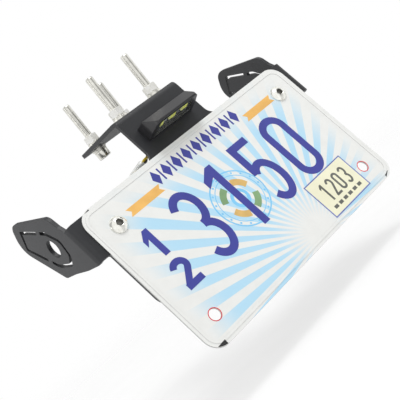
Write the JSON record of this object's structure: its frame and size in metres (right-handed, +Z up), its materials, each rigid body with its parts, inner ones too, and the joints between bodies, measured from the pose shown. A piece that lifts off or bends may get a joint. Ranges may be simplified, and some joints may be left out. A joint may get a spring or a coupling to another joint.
{
  "type": "tail tidy",
  "caption": "Motorcycle tail tidy: folded sheet bracket with indicator arms, number plate, LED plate light and stud fixings under the seat tail.",
  "frame": {"origin": "centre of the four-stud pattern, on the top face of the tail plate", "axes": "+Z up along the studs, -Y to the rear of the bike, where the number plate faces, +X across the bike"},
  "size_m": [0.192, 0.091, 0.158],
  "materials": {
    "black_coat": "fine satin black powder coat on folded steel sheet",
    "plate_enamel": "white reflective film with flat coloured print on pressed aluminium",
    "stainless": "plain stainless steel, lightly brushed",
    "light_plastic": "satin black moulded plastic",
    "clear_lens": "clear moulded lens",
    "board_green": "dark printed circuit board",
    "led_yellow": "yellow-green phosphor of a white LED",
    "black_rubber": "soft black rubber",
    "wire_sheath": "twisted pair, one wire black and one yellow, smooth sheath",
    "clear_tube": "soft clear sleeve",
    "tie_nylon": "natural nylon cable tie",
    "bullet_brass": "plain brass bullet terminal"
  },
  "bodies": {
    "root": {"bracket": "black_coat", "number_plate": "plate_enamel", "tail_bolt_fl": "stainless", "tail_bolt_fr": "stainless", "tail_bolt_rl": "stainless", "tail_bolt_rr": "stainless", "lower_washer_fl": "stainless", "lower_washer_fr": "stainless", "lower_washer_rl": "stainless", "lower_washer_rr": "stainless", "lower_spring_fl": "stainless", "lower_spring_fr": "stainless", "lower_spring_rl": "stainless", "lower_spring_rr": "stainless", "upper_washer_fl": "stainless", "upper_washer_fr": "stainless", "upper_washer_rl": "stainless", "upper_washer_rr": "stainless", "upper_spring_fl": "stainless", "upper_spring_fr": "stainless", "upper_spring_rl": "stainless", "upper_spring_rr": "stainless", "tail_nut_fl": "stainless", "tail_nut_fr": "stainless", "tail_nut_rl": "stainless", "tail_nut_rr": "stainless", "plate_screw_left": "stainless", "plate_screw_right": "stainless", "plate_washer_left": "stainless", "plate_washer_right": "stainless", "plate_nut_left": "stainless", "plate_nut_right": "stainless", "light_housing": "light_plastic", "light_lens": "clear_lens", "light_board": "board_green", "led_left": "led_yellow", "led_middle": "led_yellow", "led_right": "led_yellow", "light_screw_left": "stainless", "light_screw_right": "stainless", "lead_grommet": "black_rubber", "lead": "wire_sheath", "lead_guard": "clear_tube", "lead_hank": "wire_sheath", "lead_tie": "tie_nylon", "connector_left": "bullet_brass", "connector_right": "bullet_brass", "connector_sleeve_left": "clear_tube", "connector_sleeve_right": "clear_tube"}
  },
  "joints": []
}
